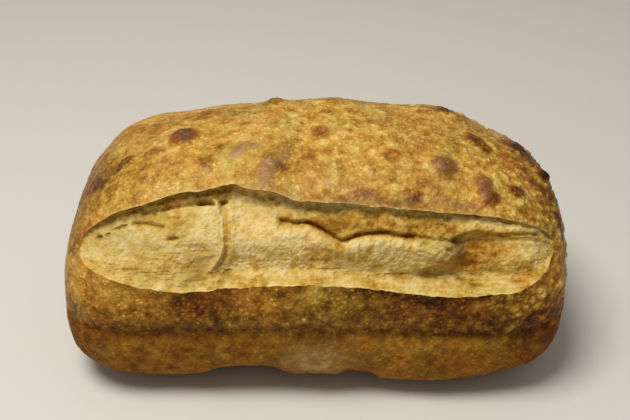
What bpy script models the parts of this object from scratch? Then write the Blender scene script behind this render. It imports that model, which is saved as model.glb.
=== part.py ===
"""A tin loaf with one long slash that has burst open along its front shoulder.

The loaf is one solid. It starts as a UV sphere whose poles lie at the two ends, and loaf_surface then moves
every point of the sphere. X runs along the loaf, the slash faces -Y, and Z is up.
Places along the sphere are bearings: -90 degrees at the left end, 0 in the middle and 90 at the right end.
Places round a section are angles: 0 at the back, 90 on the crown, 180 at the front and 270 underneath.
Across the slash, a place runs from 0 at the lower lip to 1 at the upper lip.
"""

import bmesh
import bpy
import numpy as np

MM = 0.001

# Sizes of the plain loaf, in metres
LENGTH = 0.229
WIDTH = 0.123
HEIGHT = 0.110
WAIST = 0.042  # height of the widest part of a section
PRESSED_FLAT = 0.0012  # how far the weight of the loaf has flattened its round underside
OFF_CENTRE_X = 0.0001  # how far the unevenness moves the middle of the whole loaf from that of the plain one
OFF_CENTRE_Y = -0.00037

# How square each outline is: 2 is an ellipse, and more is nearer a rectangle
PLAN_POWER = 5.3
CROWN_LENGTH_POWER = 3.15
BASE_LENGTH_POWER = 4.9
CROWN_POWER = 2.56
BASE_POWER = 3.3
BEARING_POWER = 4.0

# Mesh: the stations along the loaf as (station, bearing), and how many points go round each one
STATION_BEARINGS = [(0, -90), (9, -58), (14, -47), (39, 0), (64, 47), (69, 58), (78, 90)]
STATIONS = 78
SLASH_POINTS = 28
CRUST_POINTS = 48
RING_POINTS = SLASH_POINTS + CRUST_POINTS

# The two lips of the slash: (mm along the loaf, angle)
UPPER_LIP = [(-104, 129), (-95, 128.8), (-83, 128.4), (-71, 128.1), (-58, 126.2), (-43, 125.3), (-34, 124),
             (-28, 125.5), (-15, 127.5), (-8, 129.9), (0, 130.9), (14, 131.3), (26, 132.4), (48, 133.1),
             (60, 132.8), (77, 132.2), (89, 131.6), (104, 130.5)]
LOWER_LIP = [(-104, 156), (-93, 157.7), (-79, 159.9), (-65, 161.3), (-55, 161.8), (-36, 160.2), (-17, 158.8),
             (0, 158.5), (20, 159.6), (34, 161.4), (47, 162.9), (60, 163.6), (68, 163.7), (76, 163.3),
             (88, 163.9), (97, 161.5), (104, 153)]
SLASH_MIDDLE = 0.2  # bearing
SLASH_REACH = 49.2  # degrees of bearing from the middle to either tip
SLASH_TIP_ANGLE = 138.0
TIP_POWER = 5.0
TIP_GAP = 2.0  # degrees left between the two lip lines at a tip
END_GAP = 26.0  # degrees between those lines at the ends, where the slash has long closed

# Steps across the slash. A place over 1 lies under the ear, where the depth is a share of the crevice's
LEDGE_STEP = 4
GROOVE_STEP = 16
CREVICE_STEP = 23
LEDGE_PLACE = 0.15
CREVICE_PLACE = 0.965
RIM_PLACES = [(0, 0.0), (1, 0.012)]
EAR_PLACES = [(24, 1.0), (25, 1.035), (26, 1.035), (27, 1.012), (28, 1.0)]
EAR_DEPTHS = [(24, 1.0), (25, 0.78), (26, 0.47), (27, 0.17), (28, 0.0)]

# The torn dough inside the slash: (place, depth in mm) of its plain run, and what stands out of it
FLOOR = [(0.0, 0.0), (0.012, 1.0), (0.05, 2.8), (0.10, 4.6), (0.15, 5.4), (0.20, 5.3), (0.30, 4.2),
         (0.44, 2.6), (0.58, 2.6), (0.68, 3.8), (0.76, 4.8), (0.84, 6.0), (0.92, 7.6), (0.97, 8.8), (1.0, 9.2)]
# How deep the crevice under the ear is, against that plain run: (mm along, share)
CREVICE_SHARES = [(-104, 0.6), (-86, 0.6), (-70, 0.65), (-52, 0.8), (-38, 1.0), (-12, 1.0), (5, 0.78), (20, 0.6),
                  (60, 0.5), (90, 0.45), (104, 0.3)]
GROOVE = [(-104, 0.76), (-22, 0.76), (-12, 0.73), (-3, 0.765), (3, 0.70), (12, 0.56), (19, 0.64), (25, 0.70),
          (44, 0.69), (60, 0.69), (66, 0.75), (80, 0.79), (90, 0.84), (100, 0.87)]
GROOVE_DEPTH = 1.4
FOLD_LEFT = -16.0  # mm along, where the fold above the groove begins
FOLD_RISE = 2.4
MASS_RISE = 1.6
POCKET_MIDDLE = -71.0
POCKET_HALF = 32.5
POCKET_WAIST = 0.43  # the place where the pocket is longest
POCKET_BELOW = 0.41
POCKET_POWER = 2.6
POCKET_FLOOR = [(0.0, 0.0), (0.012, 1.0), (0.05, 2.2), (0.12, 3.7), (0.25, 4.8), (0.5, 5.1), (0.75, 4.9),
                (0.9, 5.2), (1.0, 6.2)]
POCKET_CORNER = 1.6  # mm more depth in the pocket's lower corner, by the thin wall
MEMBRANE_RISE = 1.2
NOSE_REACH = 63.0  # mm along, where the middle mass ends
NOSE_PLACE = 0.54
NOSE_RISE = 1.5
HOLLOW_DEPTH = 4.8
END_DEPTHS = [(-104, 0.25), (-97, 0.55), (-88, 0.8), (-76, 1.0), (82, 1.0), (92, 0.75), (98, 0.5), (104, 0.25)]
EAR_LIFT = 1.6
EAR_REACH = 7.0  # degrees over which the lift of the ear dies away
LIP_ROLL = 0.9
LIP_REACH = 5.0

# Blisters: (mm along, angle, radius in mm, height in mm)
BLISTERS = [
    (-58, 94, 8.5, 2.3), (-83, 103, 5.5, 1.0), (-46, 113, 7.0, 1.1), (-30, 107, 7.0, 1.1), (-17, 118, 6.5, 1.0),
    (4, 97, 7.0, 0.9), (-18, 64, 8.0, 1.4), (52, 74, 7.5, 1.3), (62, 68, 9.0, 1.5), (75, 91, 7.0, 1.5),
    (56, 114, 9.0, 2.2), (75, 123, 8.0, 1.5), (94, 84, 11.0, 2.2), (103, 99, 8.0, 1.3), (-72, 47, 9.0, 1.4),
    (-38, 36, 8.0, 1.2), (6, 40, 9.0, 1.4), (40, 28, 8.0, 1.2), (72, 38, 10.0, 1.5),
]

# Broad unevenness of the whole loaf: height in mm, mm per radian along X, Y and Z, and phase
WAVES = [(0.5, 19.0, 33.0, -24.0, 0.4), (0.45, -13.0, 21.0, 29.0, 2.1), (0.3, 8.0, -17.0, 14.0, 1.2)]
# Broad swellings and hollows: (mm along, angle, half-length in mm, half-angle, height in mm)
BULGES = [
    (-104, 90, 12, 60, -3.2), (-62, 70, 24, 34, -0.7), (14, 70, 24, 30, 3.0), (52, 72, 14, 24, 1.0),
    (86, 64, 20, 34, -3.6), (104, 90, 12, 60, 1.2), (-95, 200, 22, 40, 2.0), (-30, 212, 18, 24, -2.0),
    (45, 215, 24, 24, 2.4), (95, 200, 22, 40, 2.7),
]

# The crease between the part that the tin held and the part that swelled over it: (mm along, angle)
CREASE_ANGLES = [(-100, 180), (-80, 183.5), (-58, 182), (-30, 179.3), (15, 179.3), (38, 182), (60, 181.3),
                 (80, 181), (100, 179)]
CREASE_BAND = 4.0  # degrees on either side of the crease that get their own ring points
CREASE_DEPTH = 1.5
CREASE_HALF = 3.8
SWELL_RISE = 1.5
SWELL_ABOVE = 13.0
SWELL_HALF = 10.0

# Where the lower edge stands clear of the table: (mm along, half-length, rise and reach inwards in mm)
FRONT_LIFTS = [(-30, 19.0, 8.0, 24), (21, 9.0, 5.5, 18), (88, 12, 3.0, 16)]
BACK_LIFTS = [(-52, 14, 4.0, 20), (34, 20, 5.5, 22)]
LIFT_HEIGHT = 26.0  # mm above the table where a lift has died away

# Angles of the ring points over the back and underneath, between the creases and the edges of the flat base
CROWN_BACK = 60.0
BASE_CORNER = 45.0
BASE_FLAT = 65.0

CRUST_COLOUR = (0.52, 0.27, 0.075, 1.0)
CRUST_ROUGHNESS = 0.42


def smooth_step(low, high, value):
    """0 below low, 1 above high, and an S between them."""
    share = np.clip((value - low) / (high - low), 0.0, 1.0)
    return share * share * (3.0 - 2.0 * share)


def hump(value, middle, half):
    """A bell of height 1 at the middle that falls to about a third at half away from it."""
    return np.exp(-(((value - middle) / half) ** 2))


def straight_line(points, value):
    """Straight runs between (place, height) points."""
    places, heights = np.array(points, float).T
    return np.interp(value, places, heights)


def through(knots, value):
    """Straight runs between (place, height) pairs whose heights may be arrays."""
    total = np.zeros_like(value) + knots[0][1]
    for (start, low), (end, high) in zip(knots, knots[1:]):
        total = total + (high - low) * np.clip((value - start) / (end - start), 0.0, 1.0)
    return total


def curved_line(points, value):
    """A smooth line through (place, height) points, held level past both ends."""
    places, heights = np.array(points, float).T
    slopes = np.gradient(heights, places)
    value = np.clip(value, places[0], places[-1])
    low = np.clip(np.searchsorted(places, value, side="right") - 1, 0, len(places) - 2)
    step = places[low + 1] - places[low]
    u = (value - places[low]) / step
    rising = (u * u * (3 - 2 * u)) * (heights[low + 1] - heights[low])
    bend = u * (1 - u) ** 2 * slopes[low] - u * u * (1 - u) * slopes[low + 1]
    return heights[low] + rising + bend * step


def rounded_reach(share, power):
    """Half-width of a rounded rectangle at a share of its half-length."""
    return np.clip(1.0 - np.abs(share) ** power, 0.0, 1.0) ** (1.0 / power)


def power_norm(angle, power):
    """Length that turns the sine and cosine of an angle into a point of a rounded rectangle."""
    return (np.abs(np.sin(angle)) ** power + np.abs(np.cos(angle)) ** power) ** (1.0 / power)


def plain_loaf(bearing, angle):
    """The loaf with no slash, blisters or waves: rounded sections along a rounded rectangle."""
    b, a = np.radians(bearing), np.radians(angle)
    share = np.sin(b) / power_norm(b, BEARING_POWER)
    crown = (HEIGHT + PRESSED_FLAT - WAIST) * rounded_reach(share, CROWN_LENGTH_POWER)
    base = WAIST * rounded_reach(share, BASE_LENGTH_POWER)
    upper = np.sin(a) > 0.0
    norm = power_norm(a, np.where(upper, CROWN_POWER, BASE_POWER))
    x = share * LENGTH / 2
    y = rounded_reach(share, PLAN_POWER) * WIDTH / 2 * np.cos(a) / norm
    z = WAIST + np.where(upper, crown, base) * np.sin(a) / norm
    return np.stack([x, y, z], axis=-1)


def outward(bearing, angle):
    """Direction that points straight out of the plain loaf."""
    step = 0.2
    bearing = np.clip(bearing, -88.0, 88.0)
    lengthwise = plain_loaf(bearing + step, angle) - plain_loaf(bearing - step, angle)
    roundwise = plain_loaf(bearing, angle + step) - plain_loaf(bearing, angle - step)
    normal = np.cross(roundwise, lengthwise)
    return normal / np.linalg.norm(normal, axis=-1, keepdims=True)


def slash_open(bearing):
    """1 along most of the slash, 0 at its tips and past them."""
    share = np.abs((bearing - SLASH_MIDDLE) / SLASH_REACH)
    return np.sqrt(np.clip(1.0 - share**TIP_POWER, 0.0, 1.0))


def lips(bearing, along):
    """Angles of the lower and upper lips, which meet at the tips and part again round the ends."""
    wide = slash_open(bearing)
    past = smooth_step(0.0, 90.0 - SLASH_REACH, np.abs(bearing - SLASH_MIDDLE) - SLASH_REACH)
    gap = TIP_GAP * (1.0 - wide) + (END_GAP - TIP_GAP) * past
    lower = SLASH_TIP_ANGLE + (curved_line(LOWER_LIP, along) - SLASH_TIP_ANGLE) * wide + gap / 2
    upper = SLASH_TIP_ANGLE + (curved_line(UPPER_LIP, along) - SLASH_TIP_ANGLE) * wide - gap / 2
    return lower, upper


def slash_place(along, step):
    """Place across the slash of each step, with one step that always follows the groove."""
    groove = curved_line(GROOVE, along)
    middle = [(LEDGE_STEP, LEDGE_PLACE), (GROOVE_STEP, groove), (CREVICE_STEP, CREVICE_PLACE)]
    return through(RIM_PLACES + middle + EAR_PLACES, step)


def pocket_share(along, place):
    """0 in the middle of the left pocket, 1 on the thin wall that bounds it."""
    sideways = np.abs((along - POCKET_MIDDLE) / POCKET_HALF)
    downward = np.clip((POCKET_WAIST - place) / POCKET_BELOW, 0.0, None)
    return (sideways**POCKET_POWER + downward**POCKET_POWER) ** (1.0 / POCKET_POWER)


def left_pocket(along, place, depth):
    """Depth with the left pocket sunk into it: a level floor, a deep corner, and the thin wall that rises."""
    share = pocket_share(along, place)
    inside = 1.0 - smooth_step(0.9, 1.04, share)
    wall_side = smooth_step(-74.0, -48.0, along)
    corner = POCKET_CORNER * hump(along, -49.0, 10.0) * hump(place, 0.26, 0.18)
    wall = hump(share, 1.1, 0.09) * wall_side * smooth_step(0.04, 0.16, place)
    return depth + inside * (curved_line(POCKET_FLOOR, place) + corner - depth) - MEMBRANE_RISE * wall


def right_hollow(along, place):
    """Extra depth of the hollow on the right, which stops at the round nose of the middle mass."""
    nose = NOSE_REACH - 16.0 * ((place - NOSE_PLACE) / 0.28) ** 2
    start = smooth_step(-3.0, 4.0, along - nose) * smooth_step(40.0, 52.0, along)
    upper_end = 1.0 - smooth_step(-0.06, 0.02, place - curved_line(GROOVE, along))
    rising = 1.0 - 0.8 * smooth_step(66.0, 96.0, along)
    lump = NOSE_RISE * hump(along, NOSE_REACH - 6.0, 7.0) * hump(place, NOSE_PLACE, 0.14)
    return HOLLOW_DEPTH * start * smooth_step(0.03, 0.18, place) * upper_end * rising - lump


def fold_and_groove(along, place):
    """Rise of the fold above the groove, and the groove under it."""
    over = place - curved_line(GROOVE, along)
    starts = smooth_step(FOLD_LEFT - 6.0, FOLD_LEFT + 8.0, along)
    fold = smooth_step(-0.01, 0.04, over) * (1.0 - smooth_step(0.12, 0.29, over))
    merged = smooth_step(34.0, 46.0, along) * (1.0 - smooth_step(56.0, 64.0, along))
    groove = GROOVE_DEPTH * (1.0 - 0.9 * merged) * hump(over, -0.01, 0.04)
    mass = MASS_RISE * hump(over, -0.14, 0.1) * (1.0 - smooth_step(44.0, 60.0, along))
    return starts * (FOLD_RISE * (1.0 - 0.35 * merged) * fold - groove + mass)


def torn_depth(along, place):
    """Depth in mm of the torn dough below the plain loaf."""
    shallower = (curved_line(CREVICE_SHARES, along) - 1.0) * smooth_step(0.55, 0.9, place)
    depth = left_pocket(along, place, curved_line(FLOOR, place) * (1.0 + shallower))
    return depth + (right_hollow(along, place) - fold_and_groove(along, place)) * smooth_step(0.0, 0.1, place)


def slash_sheet(bearing, along, step):
    """Angle and depth across the slash, from the lower lip at step 0 to the upper lip at the last one."""
    lower, upper = lips(bearing, along)
    wide = slash_open(bearing)
    place = slash_place(along, step)
    crevice = torn_depth(along, np.full_like(place, CREVICE_PLACE))
    under_ear = straight_line(EAR_DEPTHS, step) * crevice
    depth = np.where(step <= CREVICE_STEP, torn_depth(along, np.clip(place, 0.0, CREVICE_PLACE)), under_ear)
    depth = depth * straight_line(END_DEPTHS, along) * wide
    even = step / SLASH_POINTS
    return lower + (upper - lower) * (even + (place - even) * wide), depth


def crust_lift(angle, lower, upper):
    """How far the crust turns up beside the slash: a sharp ear above it and a low roll below it."""
    above, below = (upper - angle) % 360.0, (angle - lower) % 360.0
    return EAR_LIFT * np.exp(-above / EAR_REACH) + LIP_ROLL * np.exp(-below / LIP_REACH)


def dough_lift(step):
    """How far the two edges of the torn dough turn up with the crust."""
    return LIP_ROLL * (1.0 - smooth_step(0.0, 4.0, step)) + EAR_LIFT * smooth_step(24.0, 28.0, step)


def crease_and_swell(points, bearing, along):
    """The crease round the loaf at the height of the tin, and the swell over it."""
    crease = plain_loaf(bearing, curved_line(CREASE_ANGLES, along))
    over = (points[..., 2] - crease[..., 2]) / MM
    rise = SWELL_RISE * hump(over, SWELL_ABOVE, SWELL_HALF) - CREASE_DEPTH * hump(over, 0.0, CREASE_HALF)
    sides = smooth_step(0.3, 0.7, np.abs(points[..., 1]) / (WIDTH / 2))
    return rise * sides * (1.0 - smooth_step(38.0, 58.0, np.abs(bearing)))


def broad_waves(points):
    """Slow unevenness that runs over the whole loaf."""
    rise = np.zeros(points.shape[:-1])
    for height, *lengths, phase in WAVES:
        rise += height * np.sin(points / MM @ (1.0 / np.array(lengths)) + phase)
    return rise


def bulges(bearing, along, angle):
    """The broad swellings and hollows that make the two halves of the loaf differ."""
    rise = np.zeros(along.shape)
    for place, middle, half_along, half_round, height in BULGES:
        turn = (angle - middle + 180.0) % 360.0 - 180.0
        rise += height * hump(along, place, half_along) * hump(turn, 0.0, half_round)
    return rise * (1.0 - smooth_step(66.0, 86.0, np.abs(bearing)))


def blisters(points):
    """The blisters of the crust."""
    rise = np.zeros(points.shape[:-1])
    for place, blister_angle, radius, height in BLISTERS:
        middle = plain_loaf(bearing_at(place), np.array(float(blister_angle)))
        away = np.linalg.norm(points - middle, axis=-1) / MM
        rise += height * hump(away, 0.0, 0.8 * radius)
    return rise


def bearing_at(place):
    """The bearing of a place along the loaf in mm."""
    share = place * MM / (LENGTH / 2)
    tangent = np.abs(share) / (1.0 - share**BEARING_POWER) ** (1.0 / BEARING_POWER)
    return np.degrees(np.arctan(tangent)) * np.sign(share)


def lift_edges(points):
    """Raises the lower edge where it stands clear of the table."""
    x, y, z = np.moveaxis(points, -1, 0) / MM
    low = 1.0 - smooth_step(2.0, LIFT_HEIGHT, z)
    for side, lifts in ((-1.0, FRONT_LIFTS), (1.0, BACK_LIFTS)):
        from_edge = WIDTH / 2 / MM - side * y
        for middle, half, rise, deep in lifts:
            near = 1.0 - smooth_step(0.4, 1.2, np.abs(x - middle) / half)
            z = z + rise * near * low * (1.0 - smooth_step(0.3 * deep, deep, from_edge))
    return np.stack([x, y, z], axis=-1) * MM


def rest_on_table(points):
    """Centres the loaf over the origin and flattens its underside into a face at height 0."""
    x, y, z = np.moveaxis(points, -1, 0)
    return np.stack([x - OFF_CENTRE_X, y - OFF_CENTRE_Y, np.maximum(z - PRESSED_FLAT, 0.0)], axis=-1)


def crust_angle(along, lower, upper, ring):
    """Angle of each ring point from the ear over the crown and under the loaf to the lower lip."""
    crease = curved_line(CREASE_ANGLES, along)
    knots = [
        (0, upper), (13, CROWN_BACK),
        (20, 180.0 - crease + CREASE_BAND), (22, 180.0 - crease - CREASE_BAND),
        (27, -BASE_CORNER), (30, -BASE_FLAT), (32, BASE_FLAT - 180.0), (35, BASE_CORNER - 180.0),
        (41, crease + CREASE_BAND - 360.0), (43, crease - CREASE_BAND - 360.0), (48, lower - 360.0),
    ]
    return through(knots, ring)


def loaf_surface(bearing, ring):
    """Every point of the loaf from its bearing and its ring point, which runs across the slash first."""
    along = plain_loaf(bearing, np.zeros_like(bearing))[..., 0] / MM
    lower, upper = lips(bearing, along)
    in_slash = ring <= SLASH_POINTS
    slash_angle, depth = slash_sheet(bearing, along, np.clip(ring, 0.0, SLASH_POINTS))
    angle = np.where(in_slash, slash_angle, crust_angle(along, lower, upper, ring - SLASH_POINTS))
    depth = np.where(in_slash, depth, 0.0)

    plain = plain_loaf(bearing, angle)
    turned_up = np.where(in_slash, dough_lift(ring), crust_lift(angle, lower, upper)) * slash_open(bearing)
    rise = turned_up - depth + crease_and_swell(plain, bearing, along)
    rise = rise + broad_waves(plain) + bulges(bearing, along, angle) + blisters(plain)
    return rest_on_table(lift_edges(plain + outward(bearing, angle) * (rise * MM)[..., None]))


def clear_scene():
    for obj in list(bpy.data.objects):
        bpy.data.objects.remove(obj, do_unlink=True)


def crust_material():
    material = bpy.data.materials.new("crust")
    material.use_nodes = True
    shader = material.node_tree.nodes["Principled BSDF"]
    shader.inputs["Base Color"].default_value = CRUST_COLOUR
    shader.inputs["Roughness"].default_value = CRUST_ROUGHNESS
    return material


def sphere_places(mesh):
    """The bearing and the ring point of every vertex of the UV sphere."""
    points = np.empty(len(mesh.vertices) * 3)
    mesh.vertices.foreach_get("co", points)
    x, y, z = points.reshape(-1, 3).T
    station = np.round((0.5 + np.arcsin(np.clip(z, -1.0, 1.0)) / np.pi) * STATIONS)
    ring = np.round(np.arctan2(y, x) / (2 * np.pi) * RING_POINTS) % RING_POINTS
    return straight_line(STATION_BEARINGS, station), ring


def join_resting_faces(mesh):
    """Joins the faces that lie on the table into one flat face, and turns every face outwards."""
    form = bmesh.new()
    form.from_mesh(mesh)
    resting = [face for face in form.faces if all(corner.co.z <= 0.0 for corner in face.verts)]
    bmesh.ops.dissolve_faces(form, faces=resting, use_verts=True)
    bmesh.ops.recalc_face_normals(form, faces=form.faces)
    form.to_mesh(mesh)
    form.free()


def make_loaf(collection):
    """A UV sphere with its poles at the loaf's ends, moved onto loaf_surface."""
    form = bmesh.new()
    bmesh.ops.create_uvsphere(form, u_segments=RING_POINTS, v_segments=STATIONS, radius=1.0)
    mesh = bpy.data.meshes.new("loaf")
    form.to_mesh(mesh)
    form.free()
    mesh.vertices.foreach_set("co", loaf_surface(*sphere_places(mesh)).ravel())
    join_resting_faces(mesh)
    mesh.materials.append(crust_material())
    mesh.shade_smooth()
    collection.objects.link(bpy.data.objects.new("loaf", mesh))


def main():
    clear_scene()
    collection = bpy.data.collections.new("tin_loaf")
    bpy.context.scene.collection.children.link(collection)
    make_loaf(collection)


main()
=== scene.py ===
from itertools import product
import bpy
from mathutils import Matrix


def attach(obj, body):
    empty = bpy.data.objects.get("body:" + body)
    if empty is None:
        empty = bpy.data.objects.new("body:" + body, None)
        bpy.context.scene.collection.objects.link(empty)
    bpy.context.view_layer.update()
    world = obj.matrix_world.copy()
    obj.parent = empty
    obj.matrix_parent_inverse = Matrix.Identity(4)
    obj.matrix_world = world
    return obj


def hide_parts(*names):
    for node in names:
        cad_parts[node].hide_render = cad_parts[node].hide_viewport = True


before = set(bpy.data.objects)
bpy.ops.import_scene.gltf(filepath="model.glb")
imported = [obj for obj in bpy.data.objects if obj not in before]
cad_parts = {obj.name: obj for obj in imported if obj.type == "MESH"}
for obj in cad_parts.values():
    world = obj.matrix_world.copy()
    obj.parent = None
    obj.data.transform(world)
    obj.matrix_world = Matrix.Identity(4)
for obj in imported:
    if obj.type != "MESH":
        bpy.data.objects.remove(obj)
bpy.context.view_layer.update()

from types import SimpleNamespace

import bpy
import numpy as np
from mathutils import Vector

MM = 0.001

# Sizes of the plain loaf, in metres
LENGTH = 0.229
WIDTH = 0.123
HEIGHT = 0.110
WAIST = 0.042  # height of the widest part of a section
PRESSED_FLAT = 0.0012  # how far the weight of the loaf has flattened its round underside
OFF_CENTRE_X = 0.0001  # how far the unevenness moves the middle of the whole loaf from that of the plain one
OFF_CENTRE_Y = -0.00037

# How square each outline is: 2 is an ellipse, and more is nearer a rectangle
PLAN_POWER = 5.3
CROWN_LENGTH_POWER = 3.15
BASE_LENGTH_POWER = 4.9
CROWN_POWER = 2.56
BASE_POWER = 3.3
BEARING_POWER = 4.0

# How many points of the ring round a section cross the slash, and how many go round the crust
SLASH_POINTS = 28
CRUST_POINTS = 48
RING_POINTS = SLASH_POINTS + CRUST_POINTS

# The two lips of the slash: (mm along the loaf, angle)
UPPER_LIP = [(-104, 129), (-95, 128.8), (-83, 128.4), (-71, 128.1), (-58, 126.2), (-43, 125.3), (-34, 124),
             (-28, 125.5), (-15, 127.5), (-8, 129.9), (0, 130.9), (14, 131.3), (26, 132.4), (48, 133.1),
             (60, 132.8), (77, 132.2), (89, 131.6), (104, 130.5)]
LOWER_LIP = [(-104, 156), (-93, 157.7), (-79, 159.9), (-65, 161.3), (-55, 161.8), (-36, 160.2), (-17, 158.8),
             (0, 158.5), (20, 159.6), (34, 161.4), (47, 162.9), (60, 163.6), (68, 163.7), (76, 163.3),
             (88, 163.9), (97, 161.5), (104, 153)]
SLASH_MIDDLE = 0.2  # bearing
SLASH_REACH = 49.2  # degrees of bearing from the middle to either tip
SLASH_TIP_ANGLE = 138.0
TIP_POWER = 5.0
TIP_GAP = 2.0  # degrees left between the two lip lines at a tip
END_GAP = 26.0  # degrees between those lines at the ends, where the slash has long closed

# Steps across the slash. A place over 1 lies under the ear, where the depth is a share of the crevice's
LEDGE_STEP = 4
GROOVE_STEP = 16
CREVICE_STEP = 23
LEDGE_PLACE = 0.15
CREVICE_PLACE = 0.965
RIM_PLACES = [(0, 0.0), (1, 0.012)]
EAR_PLACES = [(24, 1.0), (25, 1.035), (26, 1.035), (27, 1.012), (28, 1.0)]
EAR_DEPTHS = [(24, 1.0), (25, 0.78), (26, 0.47), (27, 0.17), (28, 0.0)]

# The torn dough inside the slash: (place, depth in mm) of its plain run, and what stands out of it
FLOOR = [(0.0, 0.0), (0.012, 1.0), (0.05, 2.8), (0.10, 4.6), (0.15, 5.4), (0.20, 5.3), (0.30, 4.2),
         (0.44, 2.6), (0.58, 2.6), (0.68, 3.8), (0.76, 4.8), (0.84, 6.0), (0.92, 7.6), (0.97, 8.8), (1.0, 9.2)]
# How deep the crevice under the ear is, against that plain run: (mm along, share)
CREVICE_SHARES = [(-104, 0.6), (-86, 0.6), (-70, 0.65), (-52, 0.8), (-38, 1.0), (-12, 1.0), (5, 0.78), (20, 0.6),
                  (60, 0.5), (90, 0.45), (104, 0.3)]
GROOVE = [(-104, 0.76), (-22, 0.76), (-12, 0.73), (-3, 0.765), (3, 0.70), (12, 0.56), (19, 0.64), (25, 0.70),
          (44, 0.69), (60, 0.69), (66, 0.75), (80, 0.79), (90, 0.84), (100, 0.87)]
GROOVE_DEPTH = 1.4
FOLD_LEFT = -16.0  # mm along, where the fold above the groove begins
FOLD_RISE = 2.4
MASS_RISE = 1.6
POCKET_MIDDLE = -71.0
POCKET_HALF = 32.5
POCKET_WAIST = 0.43  # the place where the pocket is longest
POCKET_BELOW = 0.41
POCKET_POWER = 2.6
POCKET_FLOOR = [(0.0, 0.0), (0.012, 1.0), (0.05, 2.2), (0.12, 3.7), (0.25, 4.8), (0.5, 5.1), (0.75, 4.9),
                (0.9, 5.2), (1.0, 6.2)]
POCKET_CORNER = 1.6  # mm more depth in the pocket's lower corner, by the thin wall
MEMBRANE_RISE = 1.2
NOSE_REACH = 63.0  # mm along, where the middle mass ends
NOSE_PLACE = 0.54
NOSE_RISE = 1.5
HOLLOW_DEPTH = 4.8
END_DEPTHS = [(-104, 0.25), (-97, 0.55), (-88, 0.8), (-76, 1.0), (82, 1.0), (92, 0.75), (98, 0.5), (104, 0.25)]
EAR_LIFT = 1.6
EAR_REACH = 7.0  # degrees over which the lift of the ear dies away
LIP_ROLL = 0.9
LIP_REACH = 5.0

# Blisters: (mm along, angle, radius in mm, height in mm)
BLISTERS = [
    (-58, 94, 8.5, 2.3), (-83, 103, 5.5, 1.0), (-46, 113, 7.0, 1.1), (-30, 107, 7.0, 1.1), (-17, 118, 6.5, 1.0),
    (4, 97, 7.0, 0.9), (-18, 64, 8.0, 1.4), (52, 74, 7.5, 1.3), (62, 68, 9.0, 1.5), (75, 91, 7.0, 1.5),
    (56, 114, 9.0, 2.2), (75, 123, 8.0, 1.5), (94, 84, 11.0, 2.2), (103, 99, 8.0, 1.3), (-72, 47, 9.0, 1.4),
    (-38, 36, 8.0, 1.2), (6, 40, 9.0, 1.4), (40, 28, 8.0, 1.2), (72, 38, 10.0, 1.5),
]

# Broad unevenness of the whole loaf: height in mm, mm per radian along X, Y and Z, and phase
WAVES = [(0.5, 19.0, 33.0, -24.0, 0.4), (0.45, -13.0, 21.0, 29.0, 2.1), (0.3, 8.0, -17.0, 14.0, 1.2)]
# Broad swellings and hollows: (mm along, angle, half-length in mm, half-angle, height in mm)
BULGES = [
    (-104, 90, 12, 60, -3.2), (-62, 70, 24, 34, -0.7), (14, 70, 24, 30, 3.0), (52, 72, 14, 24, 1.0),
    (86, 64, 20, 34, -3.6), (104, 90, 12, 60, 1.2), (-95, 200, 22, 40, 2.0), (-30, 212, 18, 24, -2.0),
    (45, 215, 24, 24, 2.4), (95, 200, 22, 40, 2.7),
]

# The crease between the part that the tin held and the part that swelled over it: (mm along, angle)
CREASE_ANGLES = [(-100, 180), (-80, 183.5), (-58, 182), (-30, 179.3), (15, 179.3), (38, 182), (60, 181.3),
                 (80, 181), (100, 179)]
CREASE_BAND = 4.0  # degrees on either side of the crease that get their own ring points
CREASE_DEPTH = 1.5
CREASE_HALF = 3.8
SWELL_RISE = 1.5
SWELL_ABOVE = 13.0
SWELL_HALF = 10.0

# Where the lower edge stands clear of the table: (mm along, half-length, rise and reach inwards in mm)
FRONT_LIFTS = [(-30, 19.0, 8.0, 24), (21, 9.0, 5.5, 18), (88, 12, 3.0, 16)]
BACK_LIFTS = [(-52, 14, 4.0, 20), (34, 20, 5.5, 22)]
LIFT_HEIGHT = 26.0  # mm above the table where a lift has died away

# Angles of the ring points over the back and underneath, between the creases and the edges of the flat base
CROWN_BACK = 60.0
BASE_CORNER = 45.0
BASE_FLAT = 65.0

# The pieces, each a grid over part of the ring: (name, first and last ring point, rows across, 1 if torn dough)
STATIONS_FINE = 560
PIECES = [
    ("torn_dough", 0.0, 28.0, 150, 1.0),
    ("crown", 28.0, 41.0, 170, 0.0),
    ("back", 41.0, 55.0, 110, 0.0),
    ("base", 55.0, 63.0, 50, 0.0),
    ("front", 63.0, 76.0, 140, 0.0),
]
END_SHARE = 0.2  # share of the stations that cover the two round ends
END_START = 110.0  # mm along, where an end begins

DEGREE_MM = 1.15  # mm of crust to a degree, on the shoulder

# Lines in the torn dough: (mm along, angle) points
THIN_WALL = [
    (-47.5, 127.4), (-43.6, 126.9), (-41.3, 128.4), (-40.6, 130.8), (-39.6, 135.5), (-38.6, 141),
    (-38.1, 145.5), (-39.6, 149.5), (-42, 153), (-46, 156.8), (-51.6, 159), (-57.7, 158.8), (-64.5, 159.8),
]
GROOVE_LINE = [(-12.9, 136.5), (-9.8, 136), (-7.6, 138.2), (-4.4, 137), (-0.9, 137.5), (3.6, 139.5), (7.6, 141.5),
               (12.5, 143.8), (18.8, 141.8), (23.9, 140.5), (29, 140.8), (33.3, 141), (39.1, 142), (43.5, 142.2)]
BAND_LINE = [(96.6, 135.5), (89.2, 136.8), (80.8, 138.5), (72.8, 138.8), (67.1, 139.5), (62.9, 140.8),
             (60.8, 142.8)]
NOSE_LINE = [(60.8, 142.8), (64.5, 146.2), (61.9, 148.8), (57.7, 151.8), (53.1, 151.5)]
CREVICE_LINE = [(-77.3, 134.2), (-70.2, 135.8), (-65, 137.5)]
EAR_CREVICE = [(-73, 130.5), (-62, 129.3), (-52, 128.6), (-46, 128.2), (-42.5, 129.0)]

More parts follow.
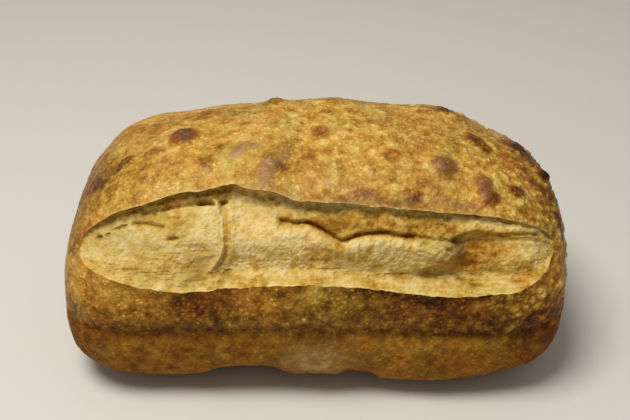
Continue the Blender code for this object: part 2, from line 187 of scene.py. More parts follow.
# Pits in the torn dough: (mm along, angle, half-length in mm, half-angle, depth in mm)
PITS = [
    (-94.3, 136.8, 2.0, 1.3, 1.5), (-89.7, 136.2, 1.5, 1.0, 1.1), (-84.2, 134.2, 4.0, 0.8, 1.1),
    (-59.8, 141.8, 3.0, 1.0, 0.8), (-46.5, 128.0, 4.0, 1.3, 2.2), (-38.2, 128.2, 1.6, 1.2, 1.8),
    (101.5, 134.4, 4.5, 1.7, 2.4), (36.0, 157.0, 4.0, 0.9, 0.4), (66.0, 159.5, 4.5, 1.1, 0.9),
    (-50.0, 158.0, 6.0, 0.9, 0.25),
]

# More blisters, too low for the solid: (mm along, angle, radius in mm, height in mm, how much darker)
LOW_BLISTERS = [
    (-98.4, 105.8, 4, 0.7, 0.25), (-88.3, 117, 4, 0.7, 0.2), (-70.7, 101.5, 5, 0.8, 0.14),
    (-0.9, 85, 3.5, 0.5, 0.3), (33.3, 110.5, 5.5, 0.6, 0.17), (60.3, 70.8, 5, 0.8, 0.35),
    (77.8, 94.8, 5, 0.9, 0.32), (73.3, 118.5, 5.5, 0.9, 0.45), (87.9, 119, 4.5, 0.8, 0.38),
    (42, 127.2, 4, 0.4, 0.12), (52.6, 125.5, 4, 0.5, 0.15), (101.9, 100.2, 4.5, 0.8, 0.32),
    (-98, 84, 5, 0.7, 0.2), (-50, 70, 5, 0.6, 0.14), (20, 78, 5, 0.5, 0.12), (106, 122, 4, 0.9, 0.25),
    (100, 112, 4, 0.8, 0.25), (107, 105, 4, 0.8, 0.15), (98, 95, 4, 0.8, 0.2),
]

# Sharper caps on the blisters of the solid, in the same way
BLISTER_CAPS = [
    (-58, 94, 7.8, 1.2, 0.54), (-83, 103, 5, 0.7, 0.22), (-46, 113, 6, 0.6, 0.2), (-30, 107, 6, 0.6, 0.1),
    (4, 97, 6, 0.6, 0.22), (-18, 66, 6, 0.8, 0.32), (52, 74, 6, 0.7, 0.24), (73, 90, 6, 0.9, 0.36),
    (56.5, 114.5, 7, 1.3, 0.46), (75, 125, 6, 0.9, 0.35), (94, 84, 9, 0.9, 0.3), (103, 99, 6, 0.8, 0.18),
]

# Patches of browning on the crust, some of them painted shade along the crease over the tin-held part: (mm along,
# angle, half-length in mm, half-angle, amount)
BROWNING_AND_CREASE_SHADE = [
    (-92, 104, 10, 10, 0.16), (-88, 108, 18, 16, 0.06), (-16, 113, 6, 8, 0.2), (-9, 109, 4, 5, 0.18),
    (-13, 119, 3.5, 5, 0.18), (-38, 104, 5, 4, 0.1), (50, 122, 26, 7, 0.06), (62, 96, 26, 18, 0.08),
    (-18.8, 121, 5, 5, 0.1), (64, 68, 12, 5, 0.25), (-104, 97, 8, 16, 0.14), (-60, 74, 30, 5, 0.12),
    (20, 64, 40, 6, 0.1), (96, 84, 12, 12, 0.22), (106, 104, 8, 22, 0.22), (42, 128, 10, 3, 0.06),
    (10, 129, 22, 3, 0.1), (40, 130, 36, 2.2, 0.16), (-50, 168, 18, 7, 0.24), (-72, 178, 18, 4, 0.12),
    (-45, 178, 26, 3, 0.12), (50, 170, 22, 6, 0.14), (75, 174, 18, 6, 0.2), (12, 170, 30, 8, 0.16),
    (60, 181, 30, 3, 0.14), (95, 170, 12, 12, 0.12),
]
# Mauve patches of the crust, where thin skin lies over a bubble, in the same way
MAUVE = [
    (-34.5, 109.5, 3.6, 3, 0.9), (-30, 107, 3.6, 3, 0.9), (-25.5, 104.5, 3.4, 2.6, 0.7),
    (-21.5, 122, 3.4, 4, 0.9), (-17.5, 116.5, 3.2, 4, 0.95), (-13.5, 111, 3.2, 4, 0.85),
    (56.2, 114.5, 5, 5, 0.4), (-58.3, 94, 6, 5, 0.25), (73, 119, 5, 4, 0.4), (60, 130, 12, 2, 0.6),
    (25, 129.5, 14, 2, 0.2), (-8, 127, 8, 3, 0.2),
]
# Dark edge of the crust just below the lower lip: (mm along, amount)
BURNT_EDGE = [
    (-104, 0.1), (-75, 0.2), (-62, 0.35), (-54, 0.55), (-36, 0.6), (-30, 0.3), (-10, 0.5), (0, 0.3), (10, 0.3),
    (18, 0.65), (34, 0.8), (74, 0.84), (84, 0.5), (94, 0.2), (104, 0.1),
]

# Patches of toasting on the torn dough, some of them painted shade in its corners and hollows and beside the nose and
# the thin wall: (mm along, angle, half-length in mm, half-angle, amount)
TOASTING_AND_SHADE = [
    (-66, 148, 20, 6, 0.2), (-68, 153, 18, 4, 0.2), (-50, 155, 8, 4, 0.46), (-62, 136, 9, 4, 0.3),
    (-67, 132.5, 6, 2.5, 0.2), (-57, 137, 6, 2.5, 0.2), (102, 135, 4, 2, 0.45), (12, 151, 46, 6, 0.11),
    (80, 148, 22, 9, 0.45), (62, 153, 8, 5, 0.4), (50, 140, 14, 4, 0.35), (12, 138.5, 12, 4, 0.5),
    (-36.5, 146, 3, 12, 0.25), (4, 148, 6, 6, 0.2), (22, 137, 34, 3.2, 0.45), (12, 151, 40, 5, 0.08),
    (66, 150, 5, 6, 0.42), (61, 146.5, 4, 4, 0.1),
]
# Glazed patches of the crust, in the same way
GLAZE = [
    (-58, 94, 9, 8, -0.7), (-30, 107, 9, 7, -0.35), (-17, 116, 8, 9, -0.4), (56, 114.5, 7, 6, 0.25),
    (-62, 106, 14, 12, 0.5), (94, 84, 10, 10, 0.3), (75, 125, 6, 5, 0.2),
]
# Painted shade on the torn dough: dull olive patches in its hollows and corners, in the same way
SHADE_GREYING = [
    (-88, 137, 16, 6, 0.4), (-48, 153, 8, 5, 0.6), (-60, 157, 14, 3, 0.35), (97, 137, 5, 5, 0.7),
    (59, 148, 5, 4, 0.75), (61, 145, 4, 3, 0.6), (-10, 133, 16, 4, 0.35),
]

# Layers of unevenness, each (height in mm, size in mm, seed), and for the lips in degrees
RAGGED_LIP = [(0.3, 5.0, 71), (0.15, 1.7, 72)]
WAVY_LIP = [(0.25, 6.0, 73), (0.15, 2.0, 74)]
WANDER = [(1.6, 7.0, 11), (0.8, 3.0, 12)]
DOUGH_SLOW = [(0.5, 6.0, 24)]
DOUGH_LUMPS = [(0.34, 2.6, 25), (0.28, 1.4, 26), (0.2, 0.85, 27)]
DOUGH_PORES = [(0.8, 4.6, 60), (0.4, 2.4, 64)]
EAR_LUMPS = [(0.6, 2.2, 84)]
EAR_HOLES = [(1.4, 4.4, 80)]
NOSE_LUMPS = [(1.4, 2.0, 85)]
NOSE_HOLES = [(1.2, 3.0, 86)]
CRUST_SLOW = [(0.4, 9.0, 31)]
CRUST_LUMPS = [(0.2, 3.2, 32), (0.14, 1.4, 33), (0.1, 0.9, 35)]
CRUST_DOMES = [(0.5, 5.5, 34), (0.42, 3.4, 38), (0.25, 2.0, 42)]
# The same for colours, whose height is a share
BROWN_LUMPS = [(0.06, 13.0, 51), (0.05, 5.0, 52)]
WARM_LUMPS = [(0.4, 10.0, 56), (0.25, 4.0, 57)]
TOAST_LUMPS = [(0.14, 6.0, 53)]
AMBER_LUMPS = [(0.5, 8.0, 58), (0.4, 3.5, 59)]
# Radius of the smallest and largest ball of bubbles, as a share of their cube
SMALLEST_BALL = 0.2
LARGEST_BALL = 0.6

# Strands of the torn dough: (share, mm along, mm across, seed), and how high in mm they stand
DRAWN_UP = [(1.0, 1.1, 8.0, 21), (0.5, 0.7, 4.0, 22)]
DRAWN_ALONG = [(1.0, 8.0, 1.0, 23)]
DRAWN_ON_LEDGE = [(1.0, 3.5, 0.7, 29)]
DRAWN_UP_PARTS = [(-20.0, 20.0), (20.0, 24.0)]  # (mm along, half-length in mm) of where they are drawn up
UP_STRANDS = 0.6
LEDGE_STRANDS = 0.22

# Heights and depths in mm of what stands in the torn dough
WALL_RISE = 1.7
LOW_WALL_RISE = 0.9
FURROW_DEPTH = 1.1
FURROW_ASIDE = 1.9  # mm along, from the thin wall to the furrow beside it
EAR_SHADE_REACH = 5.5  # mm below the ear over which its holes and shade die away
EAR_SHALLOWER = 0.4  # share of its depth that the dough under the ear loses
EAR_HALF_STEPS = 2.3  # steps across the slash over which it does
PIT_DEEPER = 1.4  # how many times as deep as in their table the pits are

# Where the crust is turned away from the crown: (start, end) angles of the change, in front and at the back
TIN_HELD = ((176.0, 184.0), (-6.0, 2.0))
LOW = ((158.0, 174.0), (-6.0, 10.0))
UPRIGHT = ((145.0, 165.0), (-3.0, 17.0))
LOWER_HALF = ((122.0, 150.0), (12.0, 40.0))
BURNT_REACH = 4.2  # degrees below the lower lip over which the burnt edge fades
# The pale edge above the upper lip is dust with a painted highlight on it
DUST_HIGHLIGHT_REACH = 0.45  # degrees above the upper lip over which its pale edge fades
CRUST_LEVEL = 0.35  # mm, the mean rise of the crust's grain
BLISTER_BROWN = 0.74
FLOUR_PART = (2.0, 13.0)  # mm along, and half-length in mm
FLOUR_HALF_TALL = 8.0

# Colours as red, green and blue, and the runs of them as (place, colour) stops from pale to dark
GOLDEN = [(0.0, (0.71, 0.56, 0.21)), (0.2, (0.595, 0.43, 0.115)), (0.4, (0.45, 0.285, 0.05)),
          (0.6, (0.27, 0.145, 0.014)), (0.8, (0.12, 0.056, 0.006)), (1.0, (0.035, 0.014, 0.003))]
ORANGE = [(0.0, (0.74, 0.52, 0.17)), (0.2, (0.63, 0.36, 0.075)), (0.4, (0.47, 0.215, 0.028)),
          (0.6, (0.28, 0.10, 0.010)), (0.8, (0.13, 0.038, 0.005)), (1.0, (0.035, 0.011, 0.003))]
STRAW = [(0.0, (0.67, 0.52, 0.22)), (0.35, (0.54, 0.375, 0.095)), (0.7, (0.38, 0.235, 0.035)),
         (1.0, (0.21, 0.11, 0.012))]
AMBER = [(0.0, (0.70, 0.50, 0.20)), (0.35, (0.57, 0.34, 0.075)), (0.7, (0.43, 0.195, 0.022)),
         (1.0, (0.24, 0.09, 0.009))]
MAUVE_SKIN = [(0.35, (0.17, 0.075, 0.03)), (0.52, (0.31, 0.16, 0.07)), (0.68, (0.46, 0.28, 0.15))]
FLOUR = (0.45, 0.36, 0.15)
# Pale edge of the ear: dust and a painted highlight
EAR_DUST_HIGHLIGHT = (0.56, 0.38, 0.14)
# Dull olive of the painted shade on the torn dough
SHADED_DOUGH = (0.34, 0.235, 0.07)
FLOOR_COLOUR = (0.62, 0.58, 0.52)
ROOM_COLOUR = (1.0, 0.97, 0.9)
# Scales of the material's patterns, in cells to the metre
COARSE_SCALE = 230.0
FINE_SCALE = 950.0
SPOT_SCALE = 430.0
SPOT_PATCH_SCALE = 120.0

# Stage, in metres, and camera
FLOOR_HALF = 3.0
ROOM_STRENGTH = 0.34
CEILING_PLACE = (-0.25, -0.24, 0.98)
LENS_MM = 58.88
SENSOR_MM = 36.0
CAMERA_DOWN = 0.58573  # radians that it looks down
CAMERA_AWAY = 0.48679  # metres from the point it looks at
CAMERA_ASIDE = 0.00079
CAMERA_AIM_HEIGHT = 0.06521


def smooth_step(low, high, value):
    """0 below low, 1 above high, and an S between them."""
    share = np.clip((value - low) / (high - low), 0.0, 1.0)
    return share * share * (3.0 - 2.0 * share)


def hump(value, middle, half):
    """A bell of height 1 at the middle that falls to about a third at half away from it."""
    return np.exp(-(((value - middle) / half) ** 2))


def straight_line(points, value):
    """Straight runs between (place, height) points."""
    places, heights = np.array(points, float).T
    return np.interp(value, places, heights)


def through(knots, value):
    """Straight runs between (place, height) pairs whose heights may be arrays."""
    total = np.zeros_like(value) + knots[0][1]
    for (start, low), (end, high) in zip(knots, knots[1:]):
        total = total + (high - low) * np.clip((value - start) / (end - start), 0.0, 1.0)
    return total


def curved_line(points, value):
    """A smooth line through (place, height) points, held level past both ends."""
    places, heights = np.array(points, float).T
    slopes = np.gradient(heights, places)
    value = np.clip(value, places[0], places[-1])
    low = np.clip(np.searchsorted(places, value, side="right") - 1, 0, len(places) - 2)
    step = places[low + 1] - places[low]
    u = (value - places[low]) / step
    rising = (u * u * (3 - 2 * u)) * (heights[low + 1] - heights[low])
    bend = u * (1 - u) ** 2 * slopes[low] - u * u * (1 - u) * slopes[low + 1]
    return heights[low] + rising + bend * step


def rounded_reach(share, power):
    """Half-width of a rounded rectangle at a share of its half-length."""
    return np.clip(1.0 - np.abs(share) ** power, 0.0, 1.0) ** (1.0 / power)


def power_norm(angle, power):
    """Length that turns the sine and cosine of an angle into a point of a rounded rectangle."""
    return (np.abs(np.sin(angle)) ** power + np.abs(np.cos(angle)) ** power) ** (1.0 / power)


def plain_loaf(bearing, angle):
    """The loaf with no slash, blisters or waves: rounded sections along a rounded rectangle."""
    b, a = np.radians(bearing), np.radians(angle)
    share = np.sin(b) / power_norm(b, BEARING_POWER)
    crown = (HEIGHT + PRESSED_FLAT - WAIST) * rounded_reach(share, CROWN_LENGTH_POWER)
    base = WAIST * rounded_reach(share, BASE_LENGTH_POWER)
    upper = np.sin(a) > 0.0
    norm = power_norm(a, np.where(upper, CROWN_POWER, BASE_POWER))
    x = share * LENGTH / 2
    y = rounded_reach(share, PLAN_POWER) * WIDTH / 2 * np.cos(a) / norm
    z = WAIST + np.where(upper, crown, base) * np.sin(a) / norm
    return np.stack([x, y, z], axis=-1)


def outward(bearing, angle):
    """Direction that points straight out of the plain loaf."""
    step = 0.2
    bearing = np.clip(bearing, -88.0, 88.0)
    lengthwise = plain_loaf(bearing + step, angle) - plain_loaf(bearing - step, angle)
    roundwise = plain_loaf(bearing, angle + step) - plain_loaf(bearing, angle - step)
    normal = np.cross(roundwise, lengthwise)
    return normal / np.linalg.norm(normal, axis=-1, keepdims=True)


def slash_open(bearing):
    """1 along most of the slash, 0 at its tips and past them."""
    share = np.abs((bearing - SLASH_MIDDLE) / SLASH_REACH)
    return np.sqrt(np.clip(1.0 - share**TIP_POWER, 0.0, 1.0))


def lips(bearing, along):
    """Angles of the lower and upper lips: each runs from its line to the tip angle as the slash closes, they
    part again round the ends, and where it is open the lower one is ragged and the upper one wavy."""
    wide = slash_open(bearing)
    past = smooth_step(0.0, 90.0 - SLASH_REACH, np.abs(bearing - SLASH_MIDDLE) - SLASH_REACH)
    gap = TIP_GAP * (1.0 - wide) + (END_GAP - TIP_GAP) * past
    lower = SLASH_TIP_ANGLE + (curved_line(LOWER_LIP, along) - SLASH_TIP_ANGLE) * wide + gap / 2
    upper = SLASH_TIP_ANGLE + (curved_line(UPPER_LIP, along) - SLASH_TIP_ANGLE) * wide - gap / 2
    line = np.stack([along, 0.0 * along, 0.0 * along], axis=-1)
    ragged, wavy = layered(lumps, line, RAGGED_LIP), layered(lumps, line, WAVY_LIP)
    return lower + ragged * wide, upper + wavy * wide


def slash_place(along, step):
    """Place across the slash of each step, with one step that always follows the groove."""
    groove = curved_line(GROOVE, along)
    middle = [(LEDGE_STEP, LEDGE_PLACE), (GROOVE_STEP, groove), (CREVICE_STEP, CREVICE_PLACE)]
    return through(RIM_PLACES + middle + EAR_PLACES, step)


def pocket_share(along, place):
    """0 in the middle of the left pocket, 1 on the thin wall that bounds it."""
    sideways = np.abs((along - POCKET_MIDDLE) / POCKET_HALF)
    downward = np.clip((POCKET_WAIST - place) / POCKET_BELOW, 0.0, None)
    return (sideways**POCKET_POWER + downward**POCKET_POWER) ** (1.0 / POCKET_POWER)


def left_pocket(along, place, depth):
    """Depth with the left pocket sunk into it: a level floor, a deep corner, and the thin wall that rises."""
    share = pocket_share(along, place)
    inside = 1.0 - smooth_step(0.9, 1.04, share)
    wall_side = smooth_step(-74.0, -48.0, along)
    corner = POCKET_CORNER * hump(along, -49.0, 10.0) * hump(place, 0.26, 0.18)
    wall = hump(share, 1.1, 0.09) * wall_side * smooth_step(0.04, 0.16, place)
    return depth + inside * (curved_line(POCKET_FLOOR, place) + corner - depth) - MEMBRANE_RISE * wall


def right_hollow(along, place):
    """Extra depth of the hollow on the right, which stops at the round nose of the middle mass."""
    nose = NOSE_REACH - 16.0 * ((place - NOSE_PLACE) / 0.28) ** 2
    start = smooth_step(-3.0, 4.0, along - nose) * smooth_step(40.0, 52.0, along)
    upper_end = 1.0 - smooth_step(-0.06, 0.02, place - curved_line(GROOVE, along))
    rising = 1.0 - 0.8 * smooth_step(66.0, 96.0, along)
    lump = NOSE_RISE * hump(along, NOSE_REACH - 6.0, 7.0) * hump(place, NOSE_PLACE, 0.14)
    return HOLLOW_DEPTH * start * smooth_step(0.03, 0.18, place) * upper_end * rising - lump


def fold_and_groove(along, place):
    """Rise of the fold above the groove, and the groove under it."""
    over = place - curved_line(GROOVE, along)
    starts = smooth_step(FOLD_LEFT - 6.0, FOLD_LEFT + 8.0, along)
    fold = smooth_step(-0.01, 0.04, over) * (1.0 - smooth_step(0.12, 0.29, over))
    merged = smooth_step(34.0, 46.0, along) * (1.0 - smooth_step(56.0, 64.0, along))
    groove = GROOVE_DEPTH * (1.0 - 0.9 * merged) * hump(over, -0.01, 0.04)
    mass = MASS_RISE * hump(over, -0.14, 0.1) * (1.0 - smooth_step(44.0, 60.0, along))
    return starts * (FOLD_RISE * (1.0 - 0.35 * merged) * fold - groove + mass)


def torn_depth(along, place):
    """Depth in mm of the torn dough below the plain loaf."""
    shallower = (curved_line(CREVICE_SHARES, along) - 1.0) * smooth_step(0.55, 0.9, place)
    depth = left_pocket(along, place, curved_line(FLOOR, place) * (1.0 + shallower))
    return depth + (right_hollow(along, place) - fold_and_groove(along, place)) * smooth_step(0.0, 0.1, place)


def slash_sheet(bearing, along, step):
    """Angle and depth across the slash, from the lower lip at step 0 to the upper lip at the last one."""
    lower, upper = lips(bearing, along)
    wide = slash_open(bearing)
    place = slash_place(along, step)
    crevice = torn_depth(along, np.full_like(place, CREVICE_PLACE))
    under_ear = straight_line(EAR_DEPTHS, step) * crevice
    depth = np.where(step <= CREVICE_STEP, torn_depth(along, np.clip(place, 0.0, CREVICE_PLACE)), under_ear)
    depth = depth * straight_line(END_DEPTHS, along) * wide
    even = step / SLASH_POINTS
    return lower + (upper - lower) * (even + (place - even) * wide), depth


def crust_lift(angle, lower, upper):
    """How far the crust turns up beside the slash: a sharp ear above it and a low roll below it."""
    above, below = (upper - angle) % 360.0, (angle - lower) % 360.0
    return EAR_LIFT * np.exp(-above / EAR_REACH) + LIP_ROLL * np.exp(-below / LIP_REACH)


def dough_lift(step):
    """How far the two edges of the torn dough turn up with the crust."""
    return LIP_ROLL * (1.0 - smooth_step(0.0, 4.0, step)) + EAR_LIFT * smooth_step(24.0, 28.0, step)


def crease_and_swell(points, bearing, along):
    """The crease round the loaf at the height of the tin, and the swell over it."""
    crease = plain_loaf(bearing, curved_line(CREASE_ANGLES, along))
    over = (points[..., 2] - crease[..., 2]) / MM
    rise = SWELL_RISE * hump(over, SWELL_ABOVE, SWELL_HALF) - CREASE_DEPTH * hump(over, 0.0, CREASE_HALF)
    sides = smooth_step(0.3, 0.7, np.abs(points[..., 1]) / (WIDTH / 2))
    return rise * sides * (1.0 - smooth_step(38.0, 58.0, np.abs(bearing)))


def broad_waves(points):
    """Slow unevenness that runs over the whole loaf."""
    rise = np.zeros(points.shape[:-1])
    for height, *lengths, phase in WAVES:
        rise += height * np.sin(points / MM @ (1.0 / np.array(lengths)) + phase)
    return rise


def bulges(bearing, along, angle):
    """The broad swellings and hollows that make the two halves of the loaf differ."""
    rise = np.zeros(along.shape)
    for place, middle, half_along, half_round, height in BULGES:
        turn = (angle - middle + 180.0) % 360.0 - 180.0
        rise += height * hump(along, place, half_along) * hump(turn, 0.0, half_round)
    return rise * (1.0 - smooth_step(66.0, 86.0, np.abs(bearing)))


def blisters(points):
    """The blisters of the crust."""
    rise = np.zeros(points.shape[:-1])
    for place, blister_angle, radius, height in BLISTERS:
        middle = plain_loaf(bearing_at(place), np.array(float(blister_angle)))
        away = np.linalg.norm(points - middle, axis=-1) / MM
        rise += height * hump(away, 0.0, 0.8 * radius)
    return rise


def bearing_at(place):
    """The bearing of a place along the loaf in mm."""
    share = place * MM / (LENGTH / 2)
    tangent = np.abs(share) / (1.0 - share**BEARING_POWER) ** (1.0 / BEARING_POWER)
    return np.degrees(np.arctan(tangent)) * np.sign(share)


def lift_edges(points):
    """Raises the lower edge where it stands clear of the table."""
    x, y, z = np.moveaxis(points, -1, 0) / MM
    low = 1.0 - smooth_step(2.0, LIFT_HEIGHT, z)
    for side, lifts in ((-1.0, FRONT_LIFTS), (1.0, BACK_LIFTS)):
        from_edge = WIDTH / 2 / MM - side * y
        for middle, half, rise, deep in lifts:
            near = 1.0 - smooth_step(0.4, 1.2, np.abs(x - middle) / half)
            z = z + rise * near * low * (1.0 - smooth_step(0.3 * deep, deep, from_edge))
    return np.stack([x, y, z], axis=-1) * MM


def rest_on_table(points):
    """Centres the loaf over the origin and flattens its underside into a face at height 0."""
    x, y, z = np.moveaxis(points, -1, 0)
    return np.stack([x - OFF_CENTRE_X, y - OFF_CENTRE_Y, np.maximum(z - PRESSED_FLAT, 0.0)], axis=-1)


def crust_angle(along, lower, upper, ring):
    """Angle of each ring point from the ear over the crown and under the loaf to the lower lip."""
    crease = curved_line(CREASE_ANGLES, along)
    knots = [
        (0, upper), (13, CROWN_BACK),
        (20, 180.0 - crease + CREASE_BAND), (22, 180.0 - crease - CREASE_BAND),
        (27, -BASE_CORNER), (30, -BASE_FLAT), (32, BASE_FLAT - 180.0), (35, BASE_CORNER - 180.0),
        (41, crease + CREASE_BAND - 360.0), (43, crease - CREASE_BAND - 360.0), (48, lower - 360.0),
    ]
    return through(knots, ring)


def scrambled(cells, seed):
    """A fixed number from 0 to 1 for each whole-number cell: the sum of its numbers times large ones, scrambled."""
    mixed = cells @ np.array([374761393, 668265263, 1440662683]) + seed * 97531
    mixed = (mixed ^ (mixed >> 13)) * 1274126177
    return ((mixed ^ (mixed >> 16)) & 0xFFFFFF) / 0xFFFFFF


def lumps(points, size, seed):
    """Unevenness from -1 to 1: scrambled numbers at the corners of cubes of that size, joined by an S."""
    place = points / size
    low = np.floor(place).astype(np.int64)
    share = place - low
    share = share * share * (3.0 - 2.0 * share)
    total = np.zeros(points.shape[:-1])
    for corner in product((0, 1), repeat=3):
        weight = np.prod(np.where(np.array(corner) == 1, share, 1.0 - share), axis=-1)
        total += weight * scrambled(low + np.array(corner), seed)
    return 2.0 * total - 1.0


def bubbles(points, size, seed):
    """Domes from 0 to 1: each cube of that size holds one ball, and a point within it rises by 1 less the
    square of its distance from the ball's middle over the radius."""
    place = points / size
    low = np.floor(place).astype(np.int64)
    best = np.zeros(points.shape[:-1])
    for step in product((-1, 0, 1), repeat=3):
        cell = low + np.array(step)
        middle = cell + np.stack([scrambled(cell, seed + axis) for axis in range(3)], axis=-1)
        radius = SMALLEST_BALL + (LARGEST_BALL - SMALLEST_BALL) * scrambled(cell, seed + 3)
        away = np.linalg.norm(place - middle, axis=-1) / radius
        best = np.maximum(best, np.clip(1.0 - away**2, 0.0, 1.0) * radius / LARGEST_BALL)
    return best


def layered(kind, points, layers):
    """Sum of layers of lumps or bubbles, each its height times the unevenness of its size and seed."""
    return sum(height * kind(points, size, seed) for height, size, seed in layers)


def stretched(where, along_size, across_size, seed):
    """Unevenness of the torn dough drawn out in one direction: lumps of one size along and another across."""
    across = where.angle * DEGREE_MM - where.depth
    flat = np.stack([where.along / along_size, across / across_size, np.zeros_like(across)], axis=-1)
    return lumps(flat, 1.0, seed)


def strands(where, level, layers):
    """Strands of torn dough: a level, less each layer's share of the absolute value of stretched unevenness."""
    return level - sum(share * np.abs(stretched(where, *drawn)) for share, *drawn in layers)


def near_path(path, where):
    """Distance in mm from a line of straight runs through (mm along, angle) points, which wanders a little."""
    nearest = np.full(where.along.shape, np.inf)
    along, angle = where.along + 0.35 * where.wander, where.angle - 0.3 * where.wander
    for (start, start_angle), (end, end_angle) in zip(path, path[1:]):
        run = np.array([end - start, (end_angle - start_angle) * DEGREE_MM])
        sideways, up = along - start, (angle - start_angle) * DEGREE_MM
        share = np.clip((sideways * run[0] + up * run[1]) / (run @ run), 0.0, 1.0)
        nearest = np.minimum(nearest, np.hypot(sideways - share * run[0], up - share * run[1]))
    return nearest


def patches(spots, where):
    """Sum of soft spots, each a bell along times a bell round times its amount, whose edges wander a little."""
    total = np.zeros(where.along.shape)
    for place, angle, half_along, half_round, amount in spots:
        turn = (where.angle + where.wander - angle + 180.0) % 360.0 - 180.0
        total += amount * hump(where.along + 1.3 * where.wander, place, half_along) * hump(turn, 0.0, half_round)
    return total


def read_places(bearing, ring):
    """Where each grid point lies: its angle and point on the plain loaf, its outward direction, its place
    across the slash, how deep the torn dough lies there, and how far lines and patches wander there."""
    along = plain_loaf(bearing, np.zeros_like(bearing))[..., 0] / MM
    lower, upper = lips(bearing, along)
    in_slash = ring <= SLASH_POINTS
    step = np.clip(ring, 0.0, SLASH_POINTS)
    slash_angle, depth = slash_sheet(bearing, along, step)
    angle = np.where(in_slash, slash_angle, crust_angle(along, lower, upper, ring - SLASH_POINTS))
    depth = np.where(in_slash, depth, 0.0)
    depth = depth * (1.0 - EAR_SHALLOWER * hump(step, EAR_PLACES[0][0], EAR_HALF_STEPS) * in_slash)
    plain, out = plain_loaf(bearing, angle), outward(bearing, angle)
    in_mm = plain / MM - depth[..., None] * out
    return SimpleNamespace(
        bearing=bearing, along=along, ring=ring, lower=lower, upper=upper, in_slash=in_slash, depth=depth,
        angle=angle, place=slash_place(along, step), wide=slash_open(bearing), plain=plain, in_mm=in_mm, out=out,
        wander=layered(lumps, in_mm, WANDER),
    )


def with_grain(where):
    """The same places with the fine rise of crust and torn dough, mixed by the share called torn, which rises
    from 0 to 1 just inside the lower lip and falls back just inside the upper one."""
    torn = smooth_step(0.0, 1.2, where.ring) * (1.0 - smooth_step(27.0, 28.0, where.ring)) * where.wide
    where.torn = np.where(where.in_slash, torn, 0.0)
    where.dough, where.crust = torn_grain(where), crust_grain(where)
    where.fine = crust_relief(where) * (1.0 - where.torn) + torn_relief(where) * where.torn
    return where


def torn_grain(where):
    """Fine rise in mm of the torn dough: strands drawn across the slash in its middle and along it elsewhere,
    plus lumps, less open pores."""
    middle = np.clip(sum(hump(where.along, *part) for part in DRAWN_UP_PARTS), 0.0, 1.0)
    middle = middle * (0.35 + 0.65 * hump(where.angle, 142.0, 8.0))
    above_groove = smooth_step(-8.0, 4.0, where.along) * (1.0 - smooth_step(140.0, 144.0, where.angle))
    middle = middle * (1.0 - 0.9 * above_groove)
    sideways = hump(where.along, -55.0, 20.0) * hump(where.angle, 146.0, 11.0) + 0.6 * hump(where.along, 80.0, 22.0)
    sideways += 0.6 * smooth_step(0.88, 0.96, where.place)
    ledge = 1.0 - smooth_step(0.14, 0.22, where.place)
    rise = UP_STRANDS * middle * (1.0 - ledge) * strands(where, 0.8, DRAWN_UP)
    rise += (0.4 * sideways + 0.5 * ledge) * strands(where, 0.5, DRAWN_ALONG)
    rise += LEDGE_STRANDS * ledge * strands(where, 0.4, DRAWN_ON_LEDGE)
    even = 1.0 - 0.5 * hump(where.along, -70.0, 32.0) * hump(where.angle, 144.0, 12.0) - 0.35 * middle
    rise += even * layered(lumps, where.in_mm, DOUGH_LUMPS)
    rough = even * (0.35 + 0.65 * np.clip(lumps(where.in_mm, 14.0, 28) + 0.3, 0.0, 1.0))
    return rise - rough * layered(bubbles, where.in_mm, DOUGH_PORES)


def torn_relief(where):
    """Rise in mm of the torn dough: its grain and slow lumps, plus the thin wall and its low end, less the
    furrow beside the wall, the lines, the holes under the ear and the pits. Each is a bell of the distance from
    its line. The shares that the colours follow are kept with the places."""
    rise = where.dough + layered(lumps, where.in_mm, DOUGH_SLOW)
    where.ridge = hump(near_path(THIN_WALL, where), 0.0, 0.85) * smooth_step(124.5, 127.0, where.angle)
    where.ridge *= 1.0 - smooth_step(151.0, 157.0, where.angle)
    furrow = [(place + FURROW_ASIDE, angle) for place, angle in THIN_WALL[2:9]]
    where.beside = hump(near_path(furrow, where), 0.0, 0.9)
    where.low_ridge = hump(near_path(THIN_WALL[6:], where), 0.0, 1.5)
    rise += WALL_RISE * where.ridge - FURROW_DEPTH * where.beside + LOW_WALL_RISE * where.low_ridge
    from_ear = np.clip(where.angle - where.upper, 0.0, None) * DEGREE_MM
    where.under_ear = np.exp(-from_ear / EAR_SHADE_REACH)
    rise += where.under_ear * (layered(lumps, where.in_mm, EAR_LUMPS) - layered(bubbles, where.in_mm, EAR_HOLES))
    groove, band = near_path(GROOVE_LINE, where), near_path(BAND_LINE, where)
    rise -= 0.9 * hump(groove, 0.0, 0.8) + 1.8 * hump(band, 0.0, 0.8)
    where.seam = np.maximum(hump(groove, 0.0, 1.6), hump(band, 0.0, 1.5))
    where.crevice = hump(near_path(CREVICE_LINE, where), 0.0, 1.0)
    rise -= 1.8 * where.crevice + 2.2 * hump(near_path(EAR_CREVICE, where), 0.0, 1.0)
    rise -= 1.5 * hump(near_path(NOSE_LINE, where), 0.0, 1.2)
    nose = hump(where.along, 57.5, 6.0) * hump(where.angle, 146.0, 5.0)
    rise += nose * (layered(lumps, where.in_mm, NOSE_LUMPS) - layered(bubbles, where.in_mm, NOSE_HOLES))
    where.pits = np.zeros(rise.shape)
    for place, angle, half_along, half_round, depth in PITS:
        sideways, up = (where.along - place) / half_along, (where.angle + 0.35 * where.wander - angle) / half_round
        pit = 1.0 - smooth_step(0.5, 1.2, np.hypot(sideways, up))
        rise -= PIT_DEEPER * depth * pit
        where.pits = np.maximum(where.pits, pit)
    return rise


